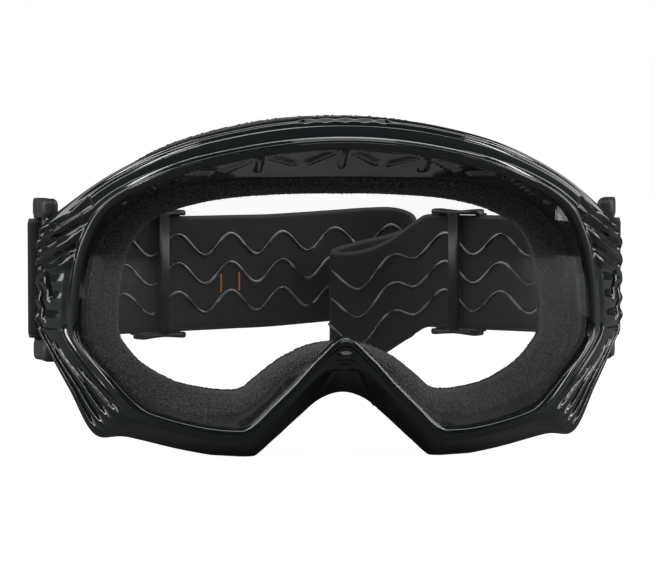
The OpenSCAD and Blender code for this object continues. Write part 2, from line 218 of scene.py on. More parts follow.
# Half of the outline from the brow to the nose: aperture edge x, z, rim x, z, flange x, z,
# flange depth, flange inset from the rim, foam opening x, z.
OUTLINE = np.array([
    [0.0, 92.9, 0.0, 102.7, 0.0, 84.1, 27.0, 1.0, 0.0, 79.5],
    [18.0, 91.7, 20.0, 101.5, 16.0, 83.9, 28.5, 1.0, 15.0, 79.3],
    [37.0, 88.4, 40.6, 97.4, 34.0, 83.0, 31.0, 1.2, 31.0, 78.2],
    [51.0, 84.4, 55.3, 92.3, 47.0, 81.0, 36.0, 1.5, 43.0, 76.1],
    [64.0, 78.7, 69.9, 84.8, 60.0, 76.5, 43.0, 3.0, 52.6, 72.8],
    [71.0, 73.2, 82.2, 76.1, 68.0, 70.8, 47.0, 7.0, 58.6, 69.2],
    [75.0, 66.0, 91.1, 68.2, 72.5, 64.7, 49.0, 10.0, 62.6, 63.9],
    [77.1, 60.0, 92.4, 59.7, 74.5, 58.0, 50.0, 10.5, 65.0, 57.8],
    [79.2, 48.7, 92.5, 47.7, 75.3, 48.0, 50.0, 10.5, 67.0, 46.8],
    [79.6, 37.7, 92.4, 37.8, 75.0, 36.6, 50.0, 10.5, 67.0, 35.3],
    [77.0, 32.0, 88.5, 29.5, 73.5, 29.0, 50.0, 9.0, 64.5, 30.3],
    [70.0, 24.7, 82.2, 18.4, 67.5, 21.4, 49.0, 7.0, 60.0, 25.3],
    [61.5, 16.4, 74.6, 5.3, 60.0, 15.8, 46.0, 5.0, 53.5, 21.3],
    [54.0, 13.2, 64.5, 5.0, 53.0, 13.4, 41.5, 4.0, 47.9, 19.2],
    [42.0, 10.6, 48.0, 1.9, 42.0, 11.2, 33.0, 2.5, 39.0, 18.0],
    [33.5, 9.9, 34.2, 0.0, 34.7, 11.8, 28.0, 2.0, 34.2, 18.0],
    [28.5, 10.8, 27.5, 0.0, 29.0, 13.5, 23.5, 2.0, 29.3, 19.0],
    [21.5, 17.5, 20.5, 5.8, 23.0, 18.4, 19.5, 1.5, 23.5, 24.0],
    [15.0, 24.0, 13.2, 12.6, 16.0, 25.3, 17.0, 1.0, 16.9, 29.0],
    [8.0, 31.6, 6.8, 18.0, 8.8, 29.0, 16.0, 0.8, 9.0, 32.7],
    [0.0, 37.8, 0.0, 20.1, 0.0, 30.3, 15.5, 0.8, 0.0, 34.0]])
MIRROR = np.array([-1, 1, -1, 1, -1, 1, 1, 1, -1, 1])
LOOP = np.concatenate([OUTLINE, OUTLINE[-2:0:-1] * MIRROR])


def through(knots, t, closed):
    """A smooth curve through the knots, at t counted in knots."""
    count = len(knots)
    i = np.floor(t).astype(int)
    if closed:
        four = [knots[(i + k) % count] for k in (-1, 0, 1, 2)]
    else:
        i = np.clip(i, 0, count - 2)
        ends = np.concatenate([[2 * knots[0] - knots[1]], knots, [2 * knots[-1] - knots[-2]]])
        four = [ends[i + k] for k in (0, 1, 2, 3)]
    a, b, c, d = four
    s = (t - i)[:, None]
    square, cube = 2 * a - 5 * b + 4 * c - d, 3 * b - a - 3 * c + d
    return 0.5 * (2 * b + (c - a) * s + square * s ** 2 + cube * s ** 3)


class Ring:
    """Stations round the frame, closer where crowd says, with the curves that the frame's pieces follow."""

    def __init__(self, count, crowd=None):
        fine = np.linspace(0, len(LOOP), 4001)
        curve = through(LOOP, fine, True)
        middle = (curve[:, 0:2] + curve[:, 2:4]) / 2
        weight = 1 if crowd is None else crowd(np.abs(middle[1:, 0]), middle[1:, 1])
        run = np.concatenate([[0], np.cumsum(np.linalg.norm(np.diff(middle, axis=0), axis=1) * weight)])
        self.knot = np.interp(np.arange(count) / count * run[-1], run, fine)
        rows = through(LOOP, self.knot, True)
        self.aperture, self.rim, self.flange = rows[:, 0:2], rows[:, 2:4], rows[:, 4:6]
        self.flange_depth, inset, self.opening = rows[:, 6], rows[:, 7:8], rows[:, 8:10]
        out = self.rim - self.flange
        self.out = out / np.linalg.norm(out, axis=1)[:, None]
        self.flange_edge = self.rim - self.out * inset
        self.rim_depth = RIM_DEPTH + RIM_R - np.sqrt(RIM_R ** 2 - self.rim[:, 0] ** 2)


def bent(flat, out=0.0):
    """Depth of a surface bent round the lens's axis, so far in front of the lens's front face."""
    return LENS_R - np.sqrt((LENS_R + out) ** 2 - flat[..., 0] ** 2)


def solid(flat, depth):
    """Points in metres from places in the front view, in millimetres, and depths behind the lens."""
    z = np.maximum(flat[..., 1], FOOT) - FOOT
    return np.stack([flat[..., 0], depth + DEPTH_ORIGIN, z], axis=-1) * MM


def wrapped(points, close_u=True, close_v=True):
    """A grid bent to the points and sewn into a ring or tube. points is a (u, v, 3) array."""
    nu, nv = points.shape[0], points.shape[1]
    bm = bmesh.new()
    bmesh.ops.create_grid(bm, x_segments=nu - 1 + close_u, y_segments=nv - 1 + close_v, size=1)
    bm.verts.ensure_lookup_table()
    flat = np.array([v.co[:2] for v in bm.verts])
    i = np.rint((flat[:, 0] + 1) / 2 * (nu - 1 + close_u)).astype(int)
    j = np.rint((flat[:, 1] + 1) / 2 * (nv - 1 + close_v)).astype(int)
    places = points[i % nu, j % nv]
    sheet = bm.loops.layers.uv.new("along")
    steps = {v.index: (a / nu, b / nv) for v, a, b in zip(bm.verts, i, j)}
    for face in bm.faces:
        for corner in face.loops:
            corner[sheet].uv = steps[corner.vert.index]
    for v, place in zip(bm.verts, places):
        v.co = place
    bmesh.ops.remove_doubles(bm, verts=bm.verts, dist=1e-7)
    bmesh.ops.recalc_face_normals(bm, faces=bm.faces)
    return bm


def with_ends(points):
    """Rows of points with a closing row before and after, drawn in to the end row's middle."""
    ends = [row.mean(axis=1, keepdims=True).repeat(points.shape[1], 1) for row in (points[:1], points[-1:])]
    return np.concatenate([ends[0], points, ends[1]])


def near_line(x, z, line):
    """How deep a point lies in a tapered line: 1 on its middle, 0 at its edge and beyond."""
    x0, z0, x1, z1, w0, w1 = line
    dx, dz = x1 - x0, z1 - z0
    s = np.clip(((x - x0) * dx + (z - z0) * dz) / (dx * dx + dz * dz), 0, 1)
    gap = np.hypot(x - x0 - s * dx, z - z0 - s * dz) / (w0 + (w1 - w0) * s)
    return np.clip(1 - gap, 0, 1)


def step(a, b, value):
    s = np.clip((value - a) / (b - a), 0, 1)
    return s * s * (3 - 2 * s)


# Wedge cuts in a side panel and the bars between them: x, z at each end, the outer end first,
# then the half widths there. All rise towards the lens.
CUTS = [
    (91.2, 66.4, 76.0, 76.3, 1.1, 1.9), (92.3, 61.2, 77.6, 71.0, 1.1, 2.1),
    (92.4, 55.8, 79.6, 63.4, 1.0, 2.0)]
RIBS = [
    (91.9, 64.0, 75.8, 73.7, 1.6, 2.1), (92.4, 58.6, 77.8, 67.3, 1.6, 2.3),
    (92.4, 53.2, 80.6, 59.2, 1.4, 2.0)]
# Flutes that run from this outline row down to the lower corner: at each end the outline row
# and the share of the way from lip to rim, then the half width.
SIDE_ROW = 7.4
FLUTES = [
    (SIDE_ROW - 0.1, 0.74, SIDE_ROW + 0.9, 0.56, 0.085), (SIDE_ROW + 0.25, 0.92, SIDE_ROW + 1.6, 0.7, 0.06),
    (SIDE_ROW + 0.9, 0.93, SIDE_ROW + 5.0, 0.84, 0.055), (SIDE_ROW + 1.5, 0.82, SIDE_ROW + 4.9, 0.66, 0.06),
    (SIDE_ROW + 1.9, 0.66, SIDE_ROW + 4.75, 0.46, 0.06), (SIDE_ROW + 3.0, 0.42, SIDE_ROW + 4.6, 0.24, 0.05)]
CUT_DEPTH, RIB_HEIGHT = 1.6, 0.8
# Ridges and grooves along the brow: share of the way to the rim, half width, height, sharpness.
BROW_LINES = ((0.68, 0.08, 0.8, 0.8), (0.8, 0.08, -0.6, 1), (0.91, 0.07, 0.5, 1))
LIP_GROOVE_AT, LIP_GROOVE_DEPTH = 0.13, 0.7
SCALLOP_X, SCALLOP_STEP = 0.6, 5.8
# Louvres on the nose: height of each one's middle, half its width. Both have one height.
LOUVRES = ((31.8, 2.8), (28.6, 4.0))
LOUVRE_HALF_H, LOUVRE_RISE = 1.15, 1.4
RIM_WAVE, VENT_PITCH, VENT_RISE, VENT_END_X = 5.6, 25, 1.1, 66


def plate_relief(x, z, t, knot):
    """Height of the front plate's ridges and cuts, in millimetres. t runs from the lip to the rim."""
    side = np.abs(x)
    from_brow = np.minimum(knot, len(LOOP) - knot)
    brow = 1 - step(4.2, 6.0, from_brow)
    relief = -LIP_GROOVE_DEPTH * np.clip(1 - np.abs(t - LIP_GROOVE_AT) / LIP_GROOVE_AT, 0, 1)
    for middle, half, height, sharpness in BROW_LINES:
        relief += brow * height * np.clip(1 - np.abs(t - middle) / half, 0, 1) ** sharpness
    fade = step(0.1, 0.2, t)
    cut = np.max([near_line(side, z, line) for line in CUTS], axis=0)
    rib = np.max([near_line(side, z, line) for line in RIBS], axis=0)
    for row0, t0, row1, t1, half in FLUTES:
        share = (from_brow - row0) / (row1 - row0)
        inside = np.clip(1 - np.abs(t - t0 - (t1 - t0) * share) / half, 0, 1)
        cut = np.maximum(cut, inside * step(0.0, 0.25, share) * step(1.0, 0.72, share))
    relief += fade * (RIB_HEIGHT * step(0, 1, rib) - CUT_DEPTH * step(0, 1, cut))
    for k in range(-2, 3):
        off = x - SCALLOP_X - k * SCALLOP_STEP
        relief += brow * 0.55 * np.clip(1.2 - np.abs(off) / 2.4 - np.abs(t - 0.92) / 0.1, 0, 0.7)
        relief -= brow * 0.5 * np.clip(1 - np.hypot(off / 2.0, (t - 0.76) / 0.06), 0, 1)
    nose = step(17.0, 18.6, from_brow)
    for height, half in LOUVRES:
        gap = np.hypot(x / half, (z - height) / LOUVRE_HALF_H)
        relief += nose * LOUVRE_RISE * np.sqrt(np.clip(1 - gap ** 2, 0, 1))
    relief -= nose * 0.35 * np.clip(1 - np.abs(z - 33.9) / 0.45, 0, 1) * (np.abs(x) < 2.6)
    relief -= nose * 0.5 * near_line(side, z, (3.4, 27.5, 7.6, 19.5, 0.5, 0.8))
    for _ in range(2):
        relief = (np.roll(relief, 1, axis=0) + np.roll(relief, -1, axis=0) + 2 * relief) / 4
    return relief


def wall_relief(x, w):
    """The ribs between the brow's vent slots, on the wall behind the lens. w runs back from the lens."""
    relief = np.zeros_like(x)
    for k in range(-3, 4):
        middle, back = VENT_PITCH * k, w * 18
        relief += np.clip(1.3 - np.hypot(x - middle, np.maximum(0, w - 0.52) * 18), 0, 1)
        for way in (-1, 1):
            line = (middle + way * 2.5, 1.0, middle + way * 10.5, 7.5, 0.8, 1.3)
            relief += 0.8 * near_line(x, back, line)
    return -VENT_RISE * np.clip(relief, 0, 1) * (np.abs(x) < VENT_END_X)


def crowding(x, z):
    """How closely the frame's stations lie: closest on the side panels, then at the scallops and the nose."""
    plain = np.where((x < 40) & (z < 45) | (z > 75), 1.1, 0.6)
    return np.where(x > 58, 2.4, np.where((x < 19) & (z > 60), 1.4, plain))


STATIONS, PLATE_STEPS, WALL_STEPS = 960, 58, 14
PLATE_BULGE, SCALLOP_H = 1.5, 0.45
# Steps from the groove up over the lip: how far out from the aperture, and how far forward.
LIP_STEPS = ((0.0, 0.0), (0.0, 0.9), (0.12, 1.25), (0.5, 1.62), (1.2, 2.0), (1.8, 2.15))
ring = Ring(STATIONS, crowding)


columns = []
for shift, lift in LIP_STEPS:
    flat = ring.aperture + ring.out * shift
    columns.append(solid(flat, bent(flat, LENS_GAP) - lift))
crest = ring.aperture + ring.out * CREST_OUT
crest_depth = bent(crest, LENS_GAP) - LIP_T - CREST_H
plate_steps = np.linspace(0, 1, PLATE_STEPS)
wave = np.where((np.abs(ring.rim[:, 0]) > 86) & (ring.rim[:, 1] > 37) & (ring.rim[:, 1] < 70),
                SCALLOP_H * np.cos(2 * np.pi * (ring.rim[:, 1] - 62.6) / RIM_WAVE) - 0.2, 0.0)
flats = np.stack([crest + (ring.rim + ring.out * wave[:, None] * t - crest) * t for t in plate_steps], axis=1)
depths = crest_depth[:, None] + (ring.rim_depth - crest_depth)[:, None] * plate_steps
depths -= PLATE_BULGE * np.sin(np.pi * plate_steps ** 0.8) ** 0.9
plate = solid(flats, depths)
along = np.roll(plate, -1, axis=0) - np.roll(plate, 1, axis=0)
across = np.gradient(plate, axis=1)
normal = np.cross(along, across)
normal /= np.linalg.norm(normal, axis=2)[..., None]
normal *= -np.sign(normal[..., 1:2])
relief = plate_relief(flats[..., 0], flats[..., 1], np.broadcast_to(plate_steps, depths.shape),
                      np.broadcast_to(ring.knot[:, None], depths.shape))
plate += normal * (relief * MM * (1 - step(0.97, 1.0, plate_steps) * 0.5))[..., None]
plate[..., 2] = np.maximum(plate[..., 2], 0)
columns += [plate[:, k] for k in range(len(plate_steps))]

rim = ring.rim + ring.out * wave[:, None]
columns.append(solid(rim - ring.out * 0.02, ring.rim_depth + 0.5))
columns.append(solid(rim - ring.out * 0.3, ring.rim_depth + RIM_T - 0.3))
columns.append(solid(rim - ring.out * 0.6, ring.rim_depth + RIM_T))
back = crest + (ring.rim - crest) * 0.45
columns.append(solid(back, crest_depth + (ring.rim_depth - crest_depth) * 0.45 + PLATE_T))
wall = ring.aperture + ring.out * (GROOVE + 1.6)
columns.append(solid(wall, bent(wall, -LENS_T - LENS_GAP) + 1.8))
wall_end = ring.flange + ring.out * FLANGE_T
columns.append(solid(wall_end, ring.flange_depth - 0.3))
columns.append(solid(wall_end + ring.out * 0.3, ring.flange_depth))
edge = ring.flange_edge
columns.append(solid(edge - ring.out * 0.3, ring.flange_depth))
columns.append(solid(edge, ring.flange_depth + 0.3))
columns.append(solid(edge, ring.flange_depth + FLANGE_T))
columns.append(solid(ring.flange, ring.flange_depth + FLANGE_T))
inner = ring.aperture
ledge_depth = bent(inner, -LENS_T - LENS_GAP)
for w in np.linspace(1, 0, WALL_STEPS):
    flat = inner + (ring.flange - inner) * w
    depth = (ledge_depth + 1.6) + (ring.flange_depth - ledge_depth - 1.6) * w
    lift = wall_relief(flat[:, 0], np.full(STATIONS, w)) * (flat[:, 1] > 60)
    columns.append(solid(flat + ring.out * lift[:, None], depth))
columns.append(solid(inner, ledge_depth))
floor_line = ring.aperture + ring.out * GROOVE
columns.append(solid(floor_line, bent(floor_line, -LENS_T - LENS_GAP)))
columns.append(solid(floor_line, bent(floor_line, LENS_GAP)))

gloss = Finish("gloss_black_moulding", Base_Color=(0.004, 0.007, 0.007), Roughness=0.1, IOR=1.5,
               Coat_Weight=0.6)
gloss.shader.inputs["Coat Roughness"].default_value = 0.04
smudge = gloss.noise(38.0, 3.0)
gloss.wire("Roughness", smudge * 0.1 + 0.05)
gloss.wire("Base Color", gloss.shades(gloss.noise(9.0), (0.003, 0.006, 0.006), (0.005, 0.008, 0.008)))
gloss.bump(gloss.noise(60.0, 1.0), 0.00001, 0.2)

moulding = shown("frame_moulding", wrapped(np.stack(columns, axis=1)), gloss)
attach(moulding, "root")
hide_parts("frame")


# ---------------------------------------------------------------- lens
# A clear sheet bent to a cylinder, its edge held in the frame's groove. It carries a few
# specks of dust and a faint sheen.
LENS_STATIONS, LENS_RINGS = 320, 26
ring = Ring(LENS_STATIONS)
hub = np.array([0.0, 58.0])
lens_edge = ring.aperture + ring.out * (GROOVE - 0.4)
lens_columns = []
spread = np.linspace(0, 1, LENS_RINGS)
for r in spread:
    flat = hub + (lens_edge - hub) * r
    lens_columns.append(solid(flat, bent(flat)))
for r in spread[::-1]:
    flat = hub + (lens_edge - hub) * r
    lens_columns.append(solid(flat, bent(flat, -LENS_T)))

clear = Finish("clear_sheet", Base_Color=(0.95, 1.0, 1.0), Roughness=0.02, Metallic=1.0)
specks = clear.node("TexVoronoi", {"distance": "EUCLIDEAN"}, {"Vector": clear.place(), "Scale": 110.0})
dust = clear.node("ValToRGB", {"stops": [(0.018, 1.0), (0.03, 0.0)]}, {0: specks})
patch = clear.noise(30.0, 1.0).over(0.6)
edge_on = clear.node("LayerWeight", inputs={"Blend": 0.5}, out=1)
clear.wire("Alpha", edge_on * edge_on * edge_on * 0.5 + 0.025 + dust * patch * 0.35)
clear.wire("Roughness", dust * patch * 0.5 + 0.015)
lens = shown("lens_sheet", wrapped(np.stack(lens_columns, axis=1), True, False), clear)
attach(lens, "root")
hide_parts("lens")


# ---------------------------------------------------------------- face foam and fleece
# A ring of open-cell foam bonded to the flange, with a layer of brushed fleece on the back
# where it meets the face. Both are die-cut, so their edges are rough with cut cells and fibre.
FOAM_T, FLEECE_T = 12.0, 2.5
FOAM_STATIONS, FOAM_ROWS = 1100, 44
CELL_ROUGHNESS, FIBRE_ROUGHNESS = 0.08, 0.14
rng = np.random.default_rng(11)
ring = Ring(FOAM_STATIONS)


def padded_ring(name, sections, roughness, finish):
    """A soft ring through section points that run round it, with rounded corners and a ragged skin."""
    loop = np.stack(sections, axis=1)
    steps = np.linspace(0, loop.shape[1], FOAM_ROWS, endpoint=False)
    i = np.floor(steps).astype(int)
    s = (steps - i)[None, :, None]
    count = loop.shape[1]
    here = loop[:, i % count] * (1 - s) + loop[:, (i + 1) % count] * s
    here = (np.roll(here, 1, axis=1) + np.roll(here, -1, axis=1) + 2 * here) / 4
    centre = here.mean(axis=1, keepdims=True)
    way = here - centre
    way /= np.linalg.norm(way, axis=2)[..., None] + 1e-9
    ragged = rng.normal(0, roughness, here.shape[:2]) * MM
    here = here + way * ragged[..., None]
    here[..., 2] = np.maximum(here[..., 2], 0.0003)
    return shown(name, wrapped(here), finish)


foam_finish = Finish("open_cell_foam", Base_Color=(0.05, 0.047, 0.044), Roughness=0.95)
cells = foam_finish.node("TexVoronoi", {"feature": "F1"}, {"Vector": foam_finish.place(), "Scale": 1500.0})
grains = foam_finish.noise(2400.0, 2.0)
foam_finish.wire("Base Color", foam_finish.shades(
    foam_finish.node("ValToRGB", {"stops": [(0.44, 0.0), (0.64, 1.0)]}, {0: grains}),
    (0.012, 0.011, 0.0105), (0.16, 0.152, 0.14)))
foam_finish.bump(cells + grains, 0.0004, 0.8)
foam_finish.shader.inputs["Sheen Weight"].default_value = 0.2
foam_finish.shader.inputs["Sheen Roughness"].default_value = 0.6

fleece_finish = Finish("brushed_fleece", Base_Color=(0.02, 0.02, 0.02), Roughness=1.0)
fuzz = fleece_finish.noise(700.0, 4.0)
fleece_finish.wire("Base Color", fleece_finish.shades(fuzz, (0.008, 0.008, 0.009), (0.06, 0.058, 0.056)))
fleece_finish.bump(fuzz, 0.0006, 0.8)
fleece_finish.shader.inputs["Sheen Weight"].default_value = 0.25

foam_front = ring.flange_depth + FLANGE_T
crown = 0.5 * step(60.0, 78.0, ring.rim[:, 1])
foam_edge = ring.flange_edge + ring.out * (0.8 + crown)[:, None]
foam_mid = (ring.opening + ring.flange) / 2
foam = padded_ring("face_foam_pad", [
    solid(ring.opening, foam_front + 3.2),
    solid(foam_mid, foam_front + 0.3),
    solid((foam_mid + foam_edge) / 2, foam_front),
    solid(foam_edge, foam_front),
    solid(foam_edge, foam_front + FOAM_T * 0.5),
    solid(foam_edge, foam_front + FOAM_T),
    solid((ring.opening + foam_edge) / 2, foam_front + FOAM_T),
    solid(ring.opening, foam_front + FOAM_T),
    solid(ring.opening - ring.out * 0.3, foam_front + FOAM_T * 0.6)],
    CELL_ROUGHNESS, foam_finish)
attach(foam, "root")
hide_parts("face_foam")

fleece = padded_ring("face_fleece_pad", [
    solid(ring.opening - ring.out * 0.2, foam_front + FOAM_T),
    solid((ring.opening + foam_edge) / 2, foam_front + FOAM_T),
    solid(foam_edge, foam_front + FOAM_T),
    solid(foam_edge + ring.out * 0.3, foam_front + FOAM_T + FLEECE_T * 0.5),
    solid(foam_edge - ring.out * 0.6, foam_front + FOAM_T + FLEECE_T),
    solid((ring.opening + foam_edge) / 2, foam_front + FOAM_T + FLEECE_T + 0.3),
    solid(ring.opening + ring.out * 0.6, foam_front + FOAM_T + FLEECE_T),
    solid(ring.opening - ring.out * 0.3, foam_front + FOAM_T + FLEECE_T * 0.5)],
    FIBRE_ROUGHNESS, fleece_finish)
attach(fleece, "root")
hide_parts("face_fleece")


# ---------------------------------------------------------------- brow vent foam
# A strip of the same foam pressed into the channel over the brow vents, to keep dust out.
brow = (ring.knot < 3) | (ring.knot > len(LOOP) - 3)
order = np.argsort(np.where(ring.knot > len(LOOP) / 2, ring.knot - len(LOOP), ring.knot))
order = order[brow[order]]
wall = ring.aperture + ring.out * (GROOVE + 1.6)
wall_end = ring.flange + ring.out * FLANGE_T
wall_depth = bent(wall, -LENS_T - LENS_GAP) + 1.8
share = ((ring.flange_depth - 7 - wall_depth) / (ring.flange_depth - wall_depth))[:, None]
low_back = wall_end + ring.out * 0.5
low_front = wall + (wall_end - wall) * share + ring.out * 0.5
high = ring.flange_edge - ring.out * 0.5
corners = [solid(low_back, ring.flange_depth - 0.5), solid(high, ring.flange_depth - 0.5),
           solid(high, ring.flange_depth - 7), solid(low_front, ring.flange_depth - 7)]
strip = []
for k in range(4):
    for s in np.linspace(0, 1, 8, endpoint=False):
        strip.append(corners[k] * (1 - s) + corners[(k + 1) % 4] * s)
strip = with_ends(np.stack(strip, axis=1)[order])
strip[1:-1] += rng.normal(0, 0.06 * MM, strip[1:-1].shape)
vent = shown("brow_vent_strip", wrapped(strip, False, True), foam_finish)
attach(vent, "root")
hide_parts("top_vent_foam")


# ---------------------------------------------------------------- mounts, hinge pins and outriggers
# A satin plastic block on each side panel holds a steel pin. An outrigger swings on the pin:
# two ears joined by the bar that the strap loops round. Ears and blocks are turned profiles.
STRAP_Z, HINGE_X, HINGE_DEPTH = 50.9, 88.3, 62.0
BAR_X, BAR_DEPTH, BAR_R = 92.079, 76.103, 1.6
WINDOW_H, EAR_H, KNUCKLE_R, EAR_END_R = 39.0, 6.2, 2.6, 2.0
PIN_R, DIP_H, BLOCK_H, EAR_ROUND = 1.25, 1.7, 28.0, 1.9

satin = Finish("satin_nylon", Base_Color=(0.05, 0.054, 0.055), Roughness=0.42, Specular_IOR_Level=0.4)
satin.bump(satin.noise(1400.0, 2.0), 0.00004, 0.4)
steel = Finish("pin_steel", Base_Color=(0.55, 0.55, 0.56), Roughness=0.32, Metallic=1.0)
steel.wire("Roughness", steel.noise(600.0, 2.0) * 0.2 + 0.22)


def side_name(name, side):
    return name + ("_left" if side < 0 else "_right")


def body_name(side, kind):
    return ("left_" if side < 0 else "right_") + kind


def on_side(points, side):
    """Points in metres from millimetres on the high-x side: x, depth, height. Low x is its mirror."""
    return np.stack([side * points[..., 0], points[..., 1] + DEPTH_ORIGIN, points[..., 2]], axis=-1) * MM


def at_height(flat, z):
    """Plan points lifted to a height: one number, or one for each point."""
    return np.column_stack([flat, np.broadcast_to(z, len(flat))])


def rounded(outline, hole, low, high, edge, lift=None):
    """A flat-sided solid round a hole: section points run from the hole out over the top and back below."""
    arc = np.radians(np.linspace(0, 90, 6))
    middle = hole.mean(axis=0)
    way = outline - middle
    reach = np.linalg.norm(way, axis=1, keepdims=True)
    way = way / reach
    top = high if lift is None else high + lift(outline)
    inner_top = high if lift is None else high + lift(hole)
    rows = [(hole, low + 0.3), (hole, inner_top - 0.3), (hole + way * 0.3, inner_top)]
    for a in arc:
        rows.append((outline - way * edge * (1 - np.sin(a)), top - edge * (1 - np.cos(a))))
    for a in arc[::-1]:
        rows.append((outline - way * edge * (1 - np.sin(a)), low + edge * (1 - np.cos(a))))
    rows.append((hole + way * 0.3, low))
    return np.stack([at_height(flat, z) for flat, z in rows], axis=1)


def hull_outline(start, start_r, end, end_r, count):
    """The outline round two discs, seen from the first one's middle at even angles."""
    turn = np.linspace(0, 2 * np.pi, count, endpoint=False)
    ray = np.stack([np.cos(turn), np.sin(turn)], axis=1)
    t = np.linspace(0, 1, 60)[:, None, None]
    centre = (np.array(end) - start) * t
    radius = start_r + (end_r - start_r) * t[..., 0]
    along = (centre * ray).sum(axis=2)
    off = (centre ** 2).sum(axis=2) - along ** 2
    reach = np.where(off < radius ** 2, along + np.sqrt(np.maximum(radius ** 2 - off, 0)), 0)
    return np.array(start) + ray * reach.max(axis=0)[:, None]


def disc(middle, radius, count):
    turn = np.linspace(0, 2 * np.pi, count, endpoint=False)
    return np.array(middle) + radius * np.stack([np.cos(turn), np.sin(turn)], axis=1)


def joined(name, grids, finish):
    """One piece from several closed grids."""
    bm = bmesh.new()
    for points, close_u, close_v in grids:
        part = wrapped(points, close_u, close_v)
        mesh = bpy.data.meshes.new("part")
        part.to_mesh(mesh)
        part.free()
        bm.from_mesh(mesh)
        bpy.data.meshes.remove(mesh)
    return shown(name, bm, finish)


def rod(middle, radius, low, high, edge=0.4, count=48):
    """A round rod standing on end, with rounded ends closed on its axis."""
    steps = [(0.02, low), (radius - edge, low), (radius, low + edge), (radius, (low + high) / 2),
             (radius, high - edge), (radius - edge, high), (0.02, high)]
    return np.stack([at_height(disc(middle, r, count), z) for r, z in steps], axis=1)


def dip(flat):
    """The saddle in an ear's top, about half-way from the hinge to the bar."""
    share = (flat - hinge) @ (bar - hinge) / ARM_L ** 2
    return -DIP_H * np.exp(-((share - 0.52) / 0.13) ** 2)


hinge, bar = np.array([HINGE_X, HINGE_DEPTH]), np.array([BAR_X, BAR_DEPTH])
ARM_L, raised = 14.6, np.array([0, 0, STRAP_Z])
BLOCK_NEAR, BLOCK_FAR = (HINGE_X - 1.1, 58.6), (HINGE_X - 2.9, 52.4)
for side in (-1, 1):
    outline = hull_outline(hinge, KNUCKLE_R, bar, EAR_END_R, 120)
    hole = disc(hinge, PIN_R + 0.05, 120)
    upper = rounded(outline, hole, WINDOW_H / 2, WINDOW_H / 2 + EAR_H, EAR_ROUND, dip)
    lower = upper * np.array([1, 1, -1])
    strap_bar = rod(bar, BAR_R, -WINDOW_H / 2 - 1, WINDOW_H / 2 + 1)
    arm = joined(side_name("outrigger_moulding", side), [
        (on_side(upper + raised, side), True, True), (on_side(lower + raised, side), True, True),
        (on_side(strap_bar + raised, side), True, False)], satin)
    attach(arm, body_name(side, "arm"))
    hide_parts(side_name("outrigger", side))

    knuckle = rounded(disc(hinge, KNUCKLE_R, 96), disc(hinge, PIN_R + 0.02, 96), -WINDOW_H / 2 + 0.3,
                      WINDOW_H / 2 - 0.3, 0.5)
    foot = hull_outline(BLOCK_NEAR, 2.3, BLOCK_FAR, 1.5, 96)
    block = rounded(foot, disc(BLOCK_NEAR, 0.05, 96), -BLOCK_H / 2, BLOCK_H / 2, 0.8)
    mount = joined(side_name("strap_mount_block", side), [
        (on_side(knuckle + raised, side), True, True), (on_side(block + raised, side), True, True)], satin)
    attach(mount, "root")
    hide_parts(side_name("strap_mount", side))

    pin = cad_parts[side_name("hinge_pin", side)]
    pin.data.materials.clear()
    pin.data.materials.append(steel.material)


# ---------------------------------------------------------------- strap
# Wide knitted elastic webbing with a firmer grey edge. Its free middle folds back on itself
# behind the lens. Each end loops round an outrigger's bar and comes back to its slider.
STRAP_W, STRAP_T, LOOP_L, SELVEDGE_W = 38.0, 1.7, 12.0, 1.1
WEB_THREADS, EDGE_SHARE = 25, 0.55
LAYER_OUT = BAR_R + 0.3 + STRAP_T / 2
SLIDER_GAP, SLIDER_BAR_W, SLIDER_BAR_T, SLIDER_L, CAP_H = 0.65, 3.8, 1.9, 19.0, 2.2
RAIL_OUT = -LAYER_OUT + STRAP_T / 2 + SLIDER_GAP
TAIL_OUT = RAIL_OUT + SLIDER_BAR_T + 0.1 + STRAP_T / 2
RUN_ANGLE = {-1: math.radians(33.3), 1: math.radians(38.3)}
RUN_L = {-1: 66.0, 1: 68.0}
SLIDER_AT = {-1: 44.7, 1: 56.0}


def beside_run(side, s, out):
    """Distance from the middle and depth of a place beside a straight run of webbing."""
    a = RUN_ANGLE[side]
    return BAR_X - s * math.cos(a) + out * math.sin(a), BAR_DEPTH + s * math.sin(a) + out * math.cos(a)


def on_run(side, s, out, z):
    """Points beside a straight run of webbing: s back from the strap bar, out from the head, z up."""
    s, out, z = np.broadcast_arrays(np.asarray(s, float), out, z)
    return on_side(np.stack([*beside_run(side, s, out), z + STRAP_Z], axis=-1), side)


def run_spot(side, s, out=0.0):
    return tuple(float(v) for v in on_run(side, s, out, 0.0))


webbing = Finish("knitted_webbing", Base_Color=(0.012, 0.012, 0.014), Roughness=0.85)
webbing.shader.inputs["Sheen Weight"].default_value = 0.06
webbing.shader.inputs["Sheen Roughness"].default_value = 0.5
cloth = webbing.place("UV")
ribs = webbing.node("TexWave", {"bands_direction": "Y"}, {"Vector": cloth, "Scale": 0.3, "Distortion": 0.6})
rows = webbing.node("TexWave", {"bands_direction": "X"}, {"Vector": cloth, "Scale": 0.36, "Distortion": 0.4})
lint = webbing.noise(900.0, 3.0)
across = webbing.node("SeparateXYZ", inputs={0: cloth}, out=1)
selvedge = webbing.node("Math", {"operation": "ABSOLUTE"}, {0: across}).over(STRAP_W / 2 - SELVEDGE_W)
knit = ribs * 0.5 + rows * 0.5
webbing.wire("Base Color", webbing.shades(
    selvedge * 0.75 + knit * lint * 0.5, (0.004, 0.004, 0.005), (0.05, 0.05, 0.054)))
webbing.bump(knit + lint * 0.6, 0.00008, 0.5)


